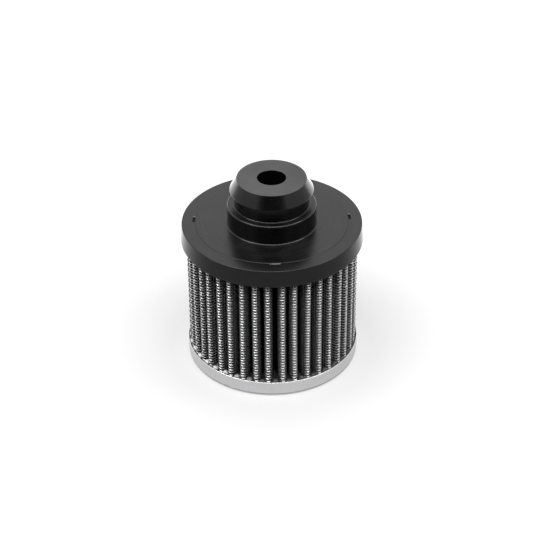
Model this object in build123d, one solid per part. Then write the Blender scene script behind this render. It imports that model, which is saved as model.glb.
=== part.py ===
from build123d import *

import math
import os

# A crankcase breather filter, in millimetres. A pleated pack of wire screen and cotton gauze stands
# between a drawn metal cap and a rubber moulding with a push-in stem.
# +Z runs up the axis, from the flat foot of the metal cap at zero to the tip of the stem.

# Metal cap: a shallow drawn cup
metal_foot_radius = 36.85
metal_draft = 0.3
metal_height = 7.2
metal_gauge = 0.4
metal_bend_radius = 1.2

# Pleats: how much of them shows between the two caps, and how deep each cap holds them
exposed_height = 49.9
pack_lift = 1.0
pack_embedment = 3.9

# Pleats: their plan, with the room left between neighbours at the bore
pack_clearance = 0.05
pleat_depth = 9.8
valley_gap = 0.65
first_pleat_deg = -3.0
tip_wander_deg = 0.5
tip_wander_step = 3.7

# Pleats: the folded sheet, from its outer face inwards
screen_thickness = 0.5
gauze_thickness = 0.4
tip_inner_fold = 0.2
valley_outer_fold = 0.4
tip_facets = 4
valley_facets = 3

# Potting compound in the metal cap
potting_freeboard = 0.9

# Moulding: the cap and its skirt
skirt_height = 7.9
skirt_wall = 1.7
skirt_draft = 0.55
cap_edge_rounding = 0.6
skirt_foot_rounding = 0.4
cap_rim_width = 5.9
cap_rim_drop = 0.15
cap_rim_fall = 0.1
inner_ring_width = 2.3
inner_ring_rounding = 0.5

# Moulding: the stem
bore_radius = 6.0
boss_height = 8.7
boss_draft = 0.2
boss_root_rounding = 0.6
shoulder_width = 2.94
shoulder_rounding = 0.6
neck_height = 6.3
neck_radius = 15.76
neck_rounding = 0.4
head_height = 6.1
head_overhang = 2.21
head_base_rounding = 0.6
nose_inset = 1.14
nose_rounding = 0.25

# Moulding: the marks that the mould's stand-offs leave in the cap's face, each a shallow slot with a
# pin's hole at its anticlockwise end, +1, or its clockwise end, -1
mark_azimuths_deg = (5, 91, 177, 272)
mark_hole_ends = (1, 1, -1, -1)
mark_inset = 5.1
mark_length = 4.0
mark_width = 0.8
mark_depth = 0.6
mark_hole_radius = 0.55
mark_hole_depth = 1.5

# Heights, stacked up from the foot
pack_bottom = metal_gauge + pack_lift
potting_top = metal_height - potting_freeboard
skirt_foot = metal_height + exposed_height
pack_top = skirt_foot + pack_embedment
cap_face = skirt_foot + skirt_height
shoulder = cap_face + boss_height
head_shelf = shoulder + neck_height
stem_top = head_shelf + head_height

# The folded sheet's whole thickness, and the folds of its outer face
sheet_thickness = 2 * screen_thickness + gauze_thickness
pleat_tip_radius = metal_foot_radius - metal_gauge - pack_clearance
tip_fold_radius = tip_inner_fold + sheet_thickness
tip_centre_radius = pleat_tip_radius - tip_fold_radius
valley_centre_radius = pleat_tip_radius - pleat_depth + valley_outer_fold

# As many pleats as the valleys leave room for
valley_pitch = 2 * (valley_outer_fold + sheet_thickness) + valley_gap
pleat_count = round(2 * math.pi * valley_centre_radius / valley_pitch)

# Radii of the moulding, outwards from the pleats for the cap and from the neck for the stem
cap_face_radius = pleat_tip_radius + skirt_wall
cap_rim_radius = cap_face_radius - cap_rim_width
mark_radius = cap_face_radius - mark_inset
inner_ring_radius = valley_centre_radius - valley_outer_fold - sheet_thickness - inner_ring_width
boss_radius = neck_radius + shoulder_width
head_base_radius = neck_radius + head_overhang
nose_radius = neck_radius - nose_inset


def fold_centres():
    """Centre of each tip fold and each valley fold in turn, anticlockwise, with +1 for a tip."""
    pitch = 360 / pleat_count
    folds = []
    for number in range(pleat_count):
        wander = tip_wander_deg * math.sin(tip_wander_step * number)
        azimuth = first_pleat_deg + number * pitch
        tip = Vector(tip_centre_radius, 0).rotate(Axis.Z, azimuth + wander)
        valley = Vector(valley_centre_radius, 0).rotate(Axis.Z, azimuth + pitch / 2)
        folds += [(tip, 1), (valley, -1)]
    return folds


def flank_angle(start, end, side):
    """Direction, in radians, that the flank from one fold to the next faces.

    The flank is the inner tangent of the two folds' circles. It is the same for every layer,
    because what one fold gains in radius the other loses.
    """
    span = end - start
    reach = tip_fold_radius + valley_outer_fold
    return math.atan2(span.Y, span.X) - side * math.acos(reach / span.length)


def pleat_outline(depth):
    """Closed outline of the pleats at a depth below the folded sheet's outer face."""
    folds = fold_centres()
    leaving = [
        flank_angle(centre, folds[(index + 1) % len(folds)][0], side)
        for index, (centre, side) in enumerate(folds)
    ]
    points = []
    for index, (centre, side) in enumerate(folds):
        radius = tip_fold_radius - depth if side > 0 else valley_outer_fold + depth
        facets = tip_facets if side > 0 else valley_facets
        arrival = leaving[index - 1] + math.pi
        sweep = side * ((side * (leaving[index] - arrival)) % (2 * math.pi))
        for step in range(facets + 1):
            angle = arrival + sweep * step / facets
            points.append(centre + Vector(math.cos(angle), math.sin(angle)) * radius)
    return Wire.make_polygon(points)


def folded_layer(outer_depth, thickness):
    """One layer of the folded sheet, the full height of the pack."""
    section = Face(pleat_outline(outer_depth), [pleat_outline(outer_depth + thickness)])
    return extrude(Pos(Z=pack_bottom) * section, pack_top - pack_bottom, dir=(0, 0, 1))


def turned(corners):
    """Solid of revolution about the axis. Each corner is a radius, a height and its rounding."""
    with BuildPart() as body:
        with BuildSketch(Plane.XZ):
            with BuildLine():
                FilletPolyline(
                    *[(radius, height) for radius, height, _ in corners],
                    radius=[rounding for _, _, rounding in corners],
                    close=True,
                )
            make_face()
        revolve(axis=Axis.Z)
    return body.part


def end_cap_moulding(pack):
    """The rubber moulding: cap, skirt, boss, neck and head in one, cast round the pleats' ends."""
    body = turned(
        [
            (bore_radius, stem_top, 0),
            (nose_radius, stem_top, nose_rounding),
            (head_base_radius, head_shelf, head_base_rounding),
            (neck_radius, head_shelf, 0),
            (neck_radius, shoulder, neck_rounding),
            (boss_radius, shoulder, shoulder_rounding),
            (boss_radius + boss_draft, cap_face, boss_root_rounding),
            (cap_rim_radius, cap_face, 0),
            (cap_rim_radius + cap_rim_drop, cap_face - cap_rim_drop, 0),
            (cap_face_radius, cap_face - cap_rim_drop - cap_rim_fall, cap_edge_rounding),
            (cap_face_radius + skirt_draft, skirt_foot, skirt_foot_rounding),
            (inner_ring_radius, skirt_foot, inner_ring_rounding),
            (inner_ring_radius, pack_top, inner_ring_rounding),
            (bore_radius, pack_top, 0),
        ]
    )
    slot = Box(mark_width, mark_length, 2 * mark_depth)
    hole = Cylinder(mark_hole_radius, 2 * mark_hole_depth)
    for azimuth, end in zip(mark_azimuths_deg, mark_hole_ends):
        mark = slot + Pos(Y=end * (mark_length / 2 - mark_hole_radius)) * hole
        body -= Rot(Z=azimuth) * Pos(mark_radius, 0, cap_face - cap_rim_drop) * mark
    return body - pack


def potting_compound(pack):
    """The compound that fills the metal cap and seals the pleats' lower ends."""
    foot_radius = metal_foot_radius - metal_gauge
    filled_share = (potting_top - metal_gauge) / (metal_height - metal_gauge)
    top_radius = foot_radius + metal_draft * filled_share
    body = turned(
        [
            (0, metal_gauge, 0),
            (foot_radius, metal_gauge, metal_bend_radius - metal_gauge),
            (top_radius, potting_top, 0),
            (0, potting_top, 0),
        ]
    )
    return body - pack


def metal_end_cap():
    """The drawn cup at the foot, of one thin sheet."""
    rim_radius = metal_foot_radius + metal_draft
    return turned(
        [
            (0, 0, 0),
            (metal_foot_radius, 0, metal_bend_radius),
            (rim_radius, metal_height, 0),
            (rim_radius - metal_gauge, metal_height, 0),
            (metal_foot_radius - metal_gauge, metal_gauge, metal_bend_radius - metal_gauge),
            (0, metal_gauge, 0),
        ]
    )


def main():
    """Write each piece of the filter to its own file."""
    pack = folded_layer(0, sheet_thickness)
    pieces = {
        "end_cap_moulding": end_cap_moulding(pack),
        "outer_screen": folded_layer(0, screen_thickness),
        "cotton_gauze": folded_layer(screen_thickness, gauze_thickness),
        "inner_screen": folded_layer(screen_thickness + gauze_thickness, screen_thickness),
        "potting_compound": potting_compound(pack),
        "metal_end_cap": metal_end_cap(),
    }
    os.makedirs("parts", exist_ok=True)
    for name, piece in pieces.items():
        export_step(piece, f"parts/{name}.step")


if __name__ == "__main__":
    main()
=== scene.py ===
"""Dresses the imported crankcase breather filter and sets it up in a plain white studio.

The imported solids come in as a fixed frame. The woven outer screen, the folded gauze and its lining,
the rubber moulding, the potting compound and the metal cap are built here as finished meshes round
it, each at the size and place of the solid that it stands for. The classes hold their sizes in
millimetres, which become metres as each mesh is made. +Z runs up the filter's axis from the flat
foot of its metal cap.
"""

from __future__ import annotations

import logging
import math
from dataclasses import dataclass
from enum import Enum

import bmesh
import bpy
import numpy as np
from bpy.types import Material, Mesh, Node, NodeOutputs, NodeSocket, NodeTree, Object
from mathutils import Matrix, Vector, noise
from mathutils.kdtree import KDTree

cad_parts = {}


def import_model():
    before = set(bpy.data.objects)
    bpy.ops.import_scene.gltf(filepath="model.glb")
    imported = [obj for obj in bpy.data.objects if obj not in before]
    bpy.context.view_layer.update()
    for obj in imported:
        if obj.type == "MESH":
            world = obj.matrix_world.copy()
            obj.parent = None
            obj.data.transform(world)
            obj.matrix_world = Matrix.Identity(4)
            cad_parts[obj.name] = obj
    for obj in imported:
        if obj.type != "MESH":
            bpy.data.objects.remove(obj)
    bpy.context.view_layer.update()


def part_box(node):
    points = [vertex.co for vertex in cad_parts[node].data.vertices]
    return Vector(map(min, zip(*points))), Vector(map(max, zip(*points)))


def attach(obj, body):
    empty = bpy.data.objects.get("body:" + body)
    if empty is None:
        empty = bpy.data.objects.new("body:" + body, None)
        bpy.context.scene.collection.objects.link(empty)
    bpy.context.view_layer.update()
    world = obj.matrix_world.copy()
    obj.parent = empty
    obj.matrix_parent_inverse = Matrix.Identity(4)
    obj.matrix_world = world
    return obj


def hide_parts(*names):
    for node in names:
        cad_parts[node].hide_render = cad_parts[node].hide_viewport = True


LOG = logging.getLogger("breather_filter")
MM = 0.001
BODY = "root"
WHITE = (1.0, 1.0, 1.0, 1.0)
NEAR = 1e-4
TURNED_CREASE = 35.0
SOFT_CREASE = 60.0


class Slot(Enum):
    """The material slots, whose values name the materials."""

    URETHANE = "black_urethane"
    WIRE = "screen_wire"
    GAUZE = "dark_gauze"
    COMPOUND = "grey_compound"
    STEEL = "bright_steel"


class Run(Enum):
    """The two directions in which the wires of the screen run."""

    COURSE = "course"
    UPRIGHT = "upright"


@dataclass
class Graph:
    """A node tree under construction, with short calls that add and join its nodes."""

    tree: NodeTree

    def add(self, kind: str, inputs: dict | None = None, **settings: object) -> Node:
        """Adds a node and fills its inputs.

        Args:
            kind: the node's type name.
            inputs: socket name or number to a value, or to the socket that feeds it.
            settings: the node's own properties.

        Returns:
            The new node.
        """
        node = self.tree.nodes.new(kind)
        for name, value in settings.items():
            setattr(node, name, value)
        self.fill(node, inputs or {})
        return node

    def out(self, kind: str, inputs: dict | None = None, **settings: object) -> NodeSocket:
        """Adds a node in the same way, and gives its first output."""
        return self.add(kind, inputs, **settings).outputs[0]

    def fill(self, node: Node, inputs: dict) -> None:
        """Sets or links a node's inputs, each given by its name or number.

        Args:
            node: the node.
            inputs: socket name or number to a value, or to the socket that feeds it.
        """
        for key, value in inputs.items():
            if isinstance(value, NodeSocket):
                self.tree.links.new(value, node.inputs[key])
            else:
                node.inputs[key].default_value = value

    def sum(self, operation: str, *terms: object) -> NodeSocket:
        """Result of a sum on up to three numbers, each a value or a socket."""
        return self.out("ShaderNodeMath", dict(enumerate(terms)), operation=operation)

    def times(self, product: object, *factors: object) -> NodeSocket:
        """Product of two or more numbers, each a value or a socket.

        Args:
            product: the first number.
            factors: the others.

        Returns:
            The product.
        """
        for factor in factors:
            product = self.sum("MULTIPLY", product, factor)
        return product

    def within(self, value: object, low: float, high: float) -> NodeSocket:
        """1 where a number lies between two others, and 0 elsewhere."""
        return self.times(self.sum("GREATER_THAN", value, low), self.sum("LESS_THAN", value, high))

    def span(self, value: object, source: tuple, target: tuple = (0.0, 1.0)) -> NodeSocket:
        """A number moved from one range to another and held within it."""
        return self.out("ShaderNodeMapRange", dict(enumerate((value, *source, *target))), clamp=True)

    def between(self, factor: object, ends: tuple) -> NodeSocket:
        """A number between two ends, by a factor from 0 to 1."""
        return self.span(factor, (0.0, 1.0), ends)

    def tint(self, factor: object, low: object, high: object) -> NodeSocket:
        """A colour between two, each three numbers or a socket, by a factor from 0 to 1.

        Args:
            factor: how far the colour goes from the first to the second.
            low: the first.
            high: the second.

        Returns:
            The colour.
        """
        ends = [(*end, 1.0) if isinstance(end, tuple) else end for end in (low, high)]
        mix = self.add("ShaderNodeMix", {0: factor, 6: ends[0], 7: ends[1]}, data_type="RGBA")
        return mix.outputs[2]

    def vector(self, operation: str, first: object, second: object) -> NodeSocket:
        """Result of a sum on two vectors, each a value or a socket."""
        return self.out("ShaderNodeVectorMath", {0: first, 1: second}, operation=operation)

    def scaled(self, vector: object, factor: object) -> NodeSocket:
        """A vector times a number."""
        return self.out("ShaderNodeVectorMath", {0: vector, "Scale": factor}, operation="SCALE")

    def split(self, vector: object) -> NodeOutputs:
        """A vector's parts, by the names X, Y and Z."""
        return self.add("ShaderNodeSeparateXYZ", {0: vector}).outputs

    def reach(self, place: NodeSocket) -> NodeSocket:
        """Distance of a place from the axis."""
        level = self.vector("MULTIPLY", place, (1.0, 1.0, 0.0))
        return self.add("ShaderNodeVectorMath", {0: level}, operation="LENGTH").outputs["Value"]

    def spot(self) -> NodeSocket:
        """The place on the object, in metres."""
        return self.add("ShaderNodeTexCoord").outputs["Object"]

    def upward(self) -> NodeSocket:
        """How far the surface faces up, from -1 to 1."""
        return self.split(self.add("ShaderNodeTexCoord").outputs["Normal"])["Z"]

    def attribute(self, name: str) -> NodeSocket:
        """The number stored under a name on each point of a shaded mesh."""
        return self.add("ShaderNodeAttribute", attribute_name=name).outputs["Fac"]

    def place(self, group: NodeTree, **inputs: object) -> NodeOutputs:
        """Places a node group. An input's name has underscores here for its spaces.

        Args:
            group: the node group.
            inputs: input name to a value, or to the socket that feeds it.

        Returns:
            The group's outputs.
        """
        node = self.add(self.tree.bl_idname.replace("NodeTree", "NodeGroup"), node_tree=group)
        self.fill(node, {name.replace("_", " "): value for name, value in inputs.items()})
        return node.outputs


def new_group(kind: str, name: str, inputs: dict, outputs: dict) -> tuple[Graph, NodeOutputs, Node]:
    """Opens a node group with named sockets.

    Args:
        kind: "Shader" or "Geometry".
        name: the group's name.
        inputs: each kind of socket to the names of the inputs of that kind.
        outputs: each kind of socket to the names of the outputs of that kind.

    Returns:
        The graph, its inputs by name and its output node.
    """
    graph = Graph(bpy.data.node_groups.new(name, f"{kind}NodeTree"))
    for side, sockets in (("INPUT", inputs), ("OUTPUT", outputs)):
        for sort, labels in sockets.items():
            for label in labels:
                graph.tree.interface.new_socket(label, in_out=side, socket_type=f"NodeSocket{sort}")
    return graph, graph.add("NodeGroupInput").outputs, graph.add("NodeGroupOutput")


class Effects:
    """The shader node groups that more than one finish uses, each built once."""

    detail: float = 4.0
    grit: float = 0.6
    cloud_edges: tuple = (0.32, 0.68)
    line_detail: float = 5.0
    thread_lift: float = 1.7

    def __init__(self) -> None:
        """Builds the groups."""
        self.cast_skin = self._cast_skin()
        self.tool_lines = self._tool_lines()
        self.plain_weave = self._plain_weave()

    def _cast_skin(self) -> NodeTree:
        """Fine pebble of a cast or drawn surface, with a broad cloudy change of tone.

        Returns:
            The group.
        """
        graph, given, result = new_group(
            "Shader",
            "cast_skin",
            {"Vector": ["Vector"], "Float": ["Grain", "Cloud"]},
            {"Float": ["Height", "Tone"]},
        )
        common = {"Vector": given["Vector"], "Detail": self.detail, "Roughness": self.grit}
        pebble, cloud = (
            graph.out("ShaderNodeTexNoise", {**common, "Scale": given[size]})
            for size in ("Grain", "Cloud")
        )
        graph.fill(result, {"Height": pebble, "Tone": graph.span(cloud, self.cloud_edges)})
        return graph.tree

    def _tool_lines(self) -> NodeTree:
        """Fine lines round the axis or along it, as a lathe or a die leaves them.

        Returns:
            The group.
        """
        graph, given, result = new_group(
            "Shader",
            "tool_lines",
            {"Vector": ["Vector"], "Float": ["Round", "Along", "Across"]},
            {"Float": ["Height"]},
        )
        axes = graph.split(given["Vector"])
        parts = {
            "X": graph.times(graph.sum("ARCTAN2", axes["Y"], axes["X"]), given["Round"]),
            "Y": graph.times(axes["Z"], given["Along"]),
            "Z": graph.times(graph.reach(given["Vector"]), given["Across"]),
        }
        laid_out = graph.out("ShaderNodeCombineXYZ", parts)
        pattern = {"Vector": laid_out, "Scale": 1.0, "Detail": self.line_detail}
        graph.fill(result, {"Height": graph.out("ShaderNodeTexNoise", pattern)})
        return graph.tree

    def _plain_weave(self) -> NodeTree:
        """Threads over and under each other, on a surface laid out flat in metres.

        Returns:
            The group.
        """
        graph, given, result = new_group(
            "Shader",
            "plain_weave",
            {"Vector": ["Vector"], "Float": ["Pitch", "Openness"]},
            {"Float": ["Height", "Gap"]},
        )
        flat = graph.split(given["Vector"])
        width, height = (graph.sum("DIVIDE", flat[axis], given["Pitch"]) for axis in "XY")
        crowns, levels = [], []
        for across, along, side in ((width, height, 1.0), (height, width, -1.0)):
            crown = graph.sum("ABSOLUTE", graph.sum("SINE", graph.times(across, math.pi)))
            wave = graph.sum("SINE", graph.times(along, math.pi))
            turn = graph.sum("COSINE", graph.times(graph.sum("FLOOR", across), math.pi))
            swing = graph.times(wave, turn, side)
            crowns.append(crown)
            levels.append(graph.times(graph.sum("ADD", swing, self.thread_lift), crown))
        gap = graph.sum("LESS_THAN", graph.sum("MAXIMUM", *crowns), given["Openness"])
        graph.fill(result, {"Height": graph.sum("MAXIMUM", *levels), "Gap": gap})
        return graph.tree


@dataclass(frozen=True)
class Finish:
    """A finish: a Principled surface whose colour, roughness and relief the kinds below work out."""

    effects: Effects
    slot: Slot
    metallic: float = 0.0
    specular: float = 0.5
    grain: float = 900.0
    cloud: float = 150.0
    lines: tuple = (0.0, 0.0, 0.0)
    rough: tuple = (0.5, 0.5)
    depth: float = 0.03 * MM

    def material(self) -> Material:
        """Builds the material, named for its slot.

        Returns:
            The material.
        """
        made = bpy.data.materials.new(self.slot.value)
        made.use_nodes = True
        graph = Graph(made.node_tree)
        colour, roughness, relief = self.skin(graph)
        bump = graph.out("ShaderNodeBump", {"Height": relief, "Distance": self.depth})
        surface = {
            "Metallic": self.metallic,
            "Specular IOR Level": self.specular,
            "Base Color": colour,
            "Roughness": roughness,
            "Normal": bump,
        }
        graph.fill(made.node_tree.nodes["Principled BSDF"], surface)
        return made

    def skin(self, graph: Graph) -> tuple:
        """The colour, the roughness and the height of the relief, as each changes over the surface."""
        raise NotImplementedError

    def cast(self, graph: Graph, spot: NodeSocket) -> NodeOutputs:
        """Height and tone of the cast skin at a place, by the finish's own grain and cloud."""
        return graph.place(self.effects.cast_skin, Vector=spot, Grain=self.grain, Cloud=self.cloud)

    def tooling(self, graph: Graph, spot: NodeSocket) -> NodeSocket:
        """Height of the tool lines at a place, by the finish's own closeness round, along and across.

        Args:
            graph: the material's graph.
            spot: the place on the piece.

        Returns:
            The height.
        """
        turned, along, across = self.lines
        lines = graph.place(self.effects.tool_lines, Vector=spot, Round=turned, Along=along, Across=across)
        return lines["Height"]


@dataclass(frozen=True)
class UrethaneFinish(Finish):
    """Black cast rubber with a soft gloss. The cut nose is duller and paler than the moulded skin."""

    slot: Slot = Slot.URETHANE
    specular: float = 0.3
    grain: float = 1500.0
    cloud: float = 55.0
    lines: tuple = (2.0, 1500.0, 1500.0)
    rough: tuple = (0.14, 0.19)
    depth: float = 0.003 * MM
    line_share: float = 0.8
    low_black: tuple = (0.0006, 0.0006, 0.0007)
    high_black: tuple = (0.0015, 0.0015, 0.0016)
    dust: tuple = (0.0055, 0.0055, 0.0057)
    smudge_edges: tuple = (0.4, 0.6)
    level_edges: tuple = (0.9, 0.99)
    level_dullness: float = 0.1
    nose_height: float = 86.0 * MM
    nose_low: tuple = (0.012, 0.012, 0.0125)
    nose_high: tuple = (0.03, 0.03, 0.031)
    nose_dullness: float = 0.2
    mark_heights: tuple = (62.5 * MM, 64.6 * MM)
    mark_dullness: float = 1.0
    step_heights: tuple = (64.86 * MM, 64.99 * MM)
    step_dullness: float = 0.75
    mark_reach: float = 37.0 * MM

    def skin(self, graph: Graph) -> tuple:
        """Cloudy black with dust on its level faces, faint lines of the mould's turning and a fine pebble.

        The marks in the cap's face are rough inside, and so is the small step round it.

        Args:
            graph: the material's graph.

        Returns:
            The colour, the roughness and the height of the relief.
        """
        spot = graph.spot()
        cast = self.cast(graph, spot)
        lines = self.tooling(graph, spot)
        height = graph.split(spot)["Z"]
        nose = graph.sum("GREATER_THAN", height, self.nose_height)
        level = graph.span(graph.upward(), self.level_edges)
        dusty = graph.times(level, graph.span(lines, self.smudge_edges), cast["Tone"])
        moulded = graph.tint(dusty, graph.tint(cast["Tone"], self.low_black, self.high_black), self.dust)
        colour = graph.tint(nose, moulded, graph.tint(cast["Tone"], self.nose_low, self.nose_high))
        flats = graph.times(level, self.level_dullness)
        dulled = graph.sum("MAXIMUM", flats, graph.times(nose, self.nose_dullness))
        roughness = graph.sum("ADD", graph.between(cast["Tone"], self.rough), dulled)
        inside = graph.sum("LESS_THAN", graph.reach(spot), self.mark_reach)
        for heights, dullness in (
            (self.mark_heights, self.mark_dullness),
            (self.step_heights, self.step_dullness),
        ):
            sunk = graph.times(graph.within(height, *heights), inside, dullness)
            roughness = graph.sum("MAXIMUM", roughness, sunk)
        relief = graph.sum("ADD", cast["Height"], graph.times(lines, self.line_share))
        return colour, roughness, relief


@dataclass(frozen=True)
class WireFinish(Finish):
    """Drawn aluminium wire, brightened by painted light on its crowns over the pleats' tips and darkened by
    painted shade elsewhere.
    """

    slot: Slot = Slot.WIRE
    metallic: float = 1.0
    grain: float = 2500.0
    cloud: float = 260.0
    rough: tuple = (0.5, 0.33)
    depth: float = 0.006 * MM
    # Near-black end that the painted shade pulls the wire towards; in the gauze, the darker end of its
    # oiled tone.
    oil_and_painted_shade: tuple = (0.01, 0.01, 0.01)
    bright: tuple = (0.97, 0.97, 0.98)
    tarnish: float = 0.86
    # Radii of the painted shade: darkest down the flanks into the valleys, dimmer on the shoulders, full
    # shine on the tips.
    tip: tuple = (35.75 * MM, 36.15 * MM)
    flank: tuple = (30.2 * MM, 33.6 * MM)
    flank_painted_shade: tuple = (0.02, 0.6)
    shoulder: tuple = (33.8 * MM, 35.2 * MM)
    shoulder_painted_shade: float = 0.42
    # Painted highlight on the crowns, and painted shade on the wires' undersides and at each crossing.
    crown_edges: tuple = (0.1, 0.9)
    hollow_painted_shade: float = 0.8
    under_edges: tuple = (-0.3, 0.35)
    under_painted_shade: float = 0.08
    crossing_painted_shade: float = 0.45

    def skin(self, graph: Graph) -> tuple:
        """Painted shade down the pleats' sides, under the wires, off their crowns and at each crossing,
        over a slow change of tone.

        Args:
            graph: the material's graph.

        Returns:
            The colour, the roughness and the height of the relief.
        """
        spot = graph.spot()
        cast = self.cast(graph, spot)
        radius = graph.reach(spot)
        # Painted shade by distance from the axis: dark in the valleys and on the shoulders, bright on the
        # tips.
        shaded = graph.span(radius, self.shoulder, (1.0, self.shoulder_painted_shade))
        side = graph.times(graph.span(radius, self.flank, self.flank_painted_shade), shaded)
        tip = graph.sum("MAXIMUM", side, graph.span(radius, self.tip))
        # Painted highlight on the crowns; painted shade on the undersides and at each crossing.
        painted_crown_highlight = graph.span(graph.attribute("crown"), self.crown_edges, (self.hollow_painted_shade, 1.0))
        painted_underside_shade = graph.span(graph.upward(), self.under_edges, (self.under_painted_shade, 1.0))
        meeting = graph.sum("COSINE", graph.times(graph.attribute("crossing"), math.pi))
        clear = graph.between(graph.times(meeting, meeting), (1.0, 1.0 - self.crossing_painted_shade))
        painted_light = graph.times(tip, painted_crown_highlight, painted_underside_shade, clear)
        painted_shine = graph.times(painted_light, graph.between(cast["Tone"], (self.tarnish, 1.0)))
        return graph.tint(painted_shine, self.oil_and_painted_shade, self.bright), graph.between(painted_light, self.rough), cast["Height"]


@dataclass(frozen=True)
class WovenFinish(Finish):
    """A sheet's woven relief, which follows the folds by the sheet's own flat layout."""

    pitch: float = 1.0 * MM
    openness: float = 0.5

    def weave(self, graph: Graph) -> tuple[NodeSocket, NodeOutputs]:
        """The place on the sheet as it was laid out flat, and the weave's height and gaps there.

        Args:
            graph: the material's graph.

        Returns:
            The place on the flat sheet, and the weave group's outputs.
        """
        cloth = graph.out("ShaderNodeUVMap", uv_map="cloth")
        group = self.effects.plain_weave
        return cloth, graph.place(group, Vector=cloth, Pitch=self.pitch, Openness=self.openness)


@dataclass(frozen=True)
class ScreenSheetFinish(WovenFinish):
    """The inner screen, whose bright wires and dark gaps show only down the bore."""

    slot: Slot = Slot.WIRE
    metallic: float = 1.0
    rough: tuple = (0.3, 0.9)
    depth: float = 0.1 * MM
    pitch: float = 1.35 * MM
    openness: float = 0.7
    wire: tuple = (0.75, 0.75, 0.76)
    gap: tuple = (0.01, 0.01, 0.01)

    def skin(self, graph: Graph) -> tuple:
        """Dark gaps between bright wires.

        Args:
            graph: the material's graph.

        Returns:
            The colour, the roughness and the height of the relief.
        """
        _, weave = self.weave(graph)
        colour = graph.tint(weave["Gap"], self.wire, self.gap)
        return colour, graph.between(weave["Gap"], self.rough), weave["Height"]


@dataclass(frozen=True)
class GauzeFinish(WovenFinish):
    """Black oiled cotton, woven openly enough for each thread to show close up."""

    slot: Slot = Slot.GAUZE
    specular: float = 0.2
    grain: float = 3000.0
    cloud: float = 120.0
    rough: tuple = (0.75, 0.95)
    depth: float = 0.08 * MM
    pitch: float = 0.42 * MM
    openness: float = 0.45
    oil_and_painted_shade: tuple = (0.0012, 0.0012, 0.0012)
    dry: tuple = (0.004, 0.004, 0.004)

    def skin(self, graph: Graph) -> tuple:
        """Cloudy black, rougher in the gaps between the threads.

        Args:
            graph: the material's graph.

        Returns:
            The colour, the roughness and the height of the relief.
        """
        cloth, weave = self.weave(graph)
        colour = graph.tint(self.cast(graph, cloth)["Tone"], self.oil_and_painted_shade, self.dry)
        return colour, graph.between(weave["Gap"], self.rough), weave["Height"]


@dataclass(frozen=True)
class CompoundFinish(Finish):
    """Pale grey potting compound, dull, with painted shade in its hollows and on one side."""

    slot: Slot = Slot.COMPOUND
    specular: float = 0.4
    grain: float = 1400.0
    cloud: float = 420.0
    rough: tuple = (0.65, 0.5)
    depth: float = 0.05 * MM
    # Painted shade colour, and the compound's own pale grey where painted light leaves it.
    painted_shade_grey: tuple = (0.02, 0.02, 0.02)
    pale_grey: tuple = (0.6, 0.6, 0.59)
    cloudy: tuple = (0.6, 1.0)
    painted_light_heights: tuple = (6.9 * MM, 7.5 * MM)
    painted_light_side: tuple = (0.0 * MM, -26.0 * MM)

    def skin(self, graph: Graph) -> tuple:
        """Cloudy grey with small pits, pale by painted light where the beads stand clear of the cap's rim
        on one side, and dark by painted shade elsewhere.

        Args:
            graph: the material's graph.

        Returns:
            The colour, the roughness and the height of the relief.
        """
        spot = graph.spot()
        cast = self.cast(graph, spot)
        place = graph.split(spot)
        # Painted light on the risen beads towards -X, painted shade below them and towards +X.
        risen = graph.span(place["Z"], self.painted_light_heights)
        aside = graph.span(place["X"], self.painted_light_side)
        clear = graph.times(risen, aside, aside, graph.between(cast["Tone"], self.cloudy))
        colour = graph.tint(clear, self.painted_shade_grey, self.pale_grey)
        return colour, graph.between(cast["Tone"], self.rough), cast["Height"]


@dataclass(frozen=True)
class SteelFinish(Finish):
    """Bright plated sheet steel with a satin skin and the fine lines of deep drawing up its wall."""

    slot: Slot = Slot.STEEL
    metallic: float = 1.0
    lines: tuple = (190.0, 60.0, 0.0)
    rough: tuple = (0.27, 0.35)
    pebble_share: float = 0.35
    dull: tuple = (0.68, 0.68, 0.69)
    bright: tuple = (0.84, 0.84, 0.85)
    # Painted shade: a dark line low on the wall, standing for the contact shadow seen in the bend.
    crease: tuple = (0.8 * MM, 1.15 * MM, 1.5 * MM)
    crease_painted_shade: float = 0.35

    def skin(self, graph: Graph) -> tuple:
        """Draw lines up the wall over a faint cloudy tone, and a painted shade line where it meets the
        bend.

        Args:
            graph: the material's graph.

        Returns:
            The colour, the roughness and the height of the relief.
        """
        spot = graph.spot()
        lines = self.tooling(graph, spot)
        cast = self.cast(graph, spot)
        height = graph.split(spot)["Z"]
        foot, middle, top = self.crease
        # Painted shade line where the wall meets the bend.
        rising = graph.span(height, (foot, middle), (1.0, self.crease_painted_shade))
        falling = graph.span(height, (middle, top), (self.crease_painted_shade, 1.0))
        drawn = graph.tint(lines, self.dull, self.bright)
        relief = graph.sum("ADD", lines, graph.times(cast["Height"], self.pebble_share))
        colour = graph.scaled(drawn, graph.sum("MAXIMUM", rising, falling))
        return colour, graph.between(cast["Tone"], self.rough), relief


def new_object(name: str, data: bpy.types.ID) -> Object:
    """Puts a mesh, a curve, a lamp or a camera in the scene as a named object at the origin.

    Args:
        name: the object's name.
        data: its data.

    Returns:
        The object.
    """
    piece = bpy.data.objects.new(name, data)
    bpy.context.scene.collection.objects.link(piece)
    return piece


def finished_mesh(piece: Object) -> None:
    """Turns a piece's modifiers into plain mesh, and takes them off.

    Args:
        piece: the piece.
    """
    graph = bpy.context.evaluated_depsgraph_get()
    mesh = bpy.data.meshes.new_from_object(piece.evaluated_get(graph), depsgraph=graph)
    piece.modifiers.clear()
    piece.data = mesh


def dressed(piece: Object, finish: Material, node: str, crease: float | None = None) -> Object:
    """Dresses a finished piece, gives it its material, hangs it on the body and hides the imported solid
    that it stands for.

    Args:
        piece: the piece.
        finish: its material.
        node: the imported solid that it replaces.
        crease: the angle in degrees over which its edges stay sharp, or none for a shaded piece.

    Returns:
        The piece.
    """
    if crease is not None:
        piece.data.shade_smooth()
        piece.data.set_sharp_from_angle(angle=math.radians(crease))
    piece.data.materials.clear()
    piece.data.materials.append(finish)
    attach(piece, BODY)
    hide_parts(node)
    return piece


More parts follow.
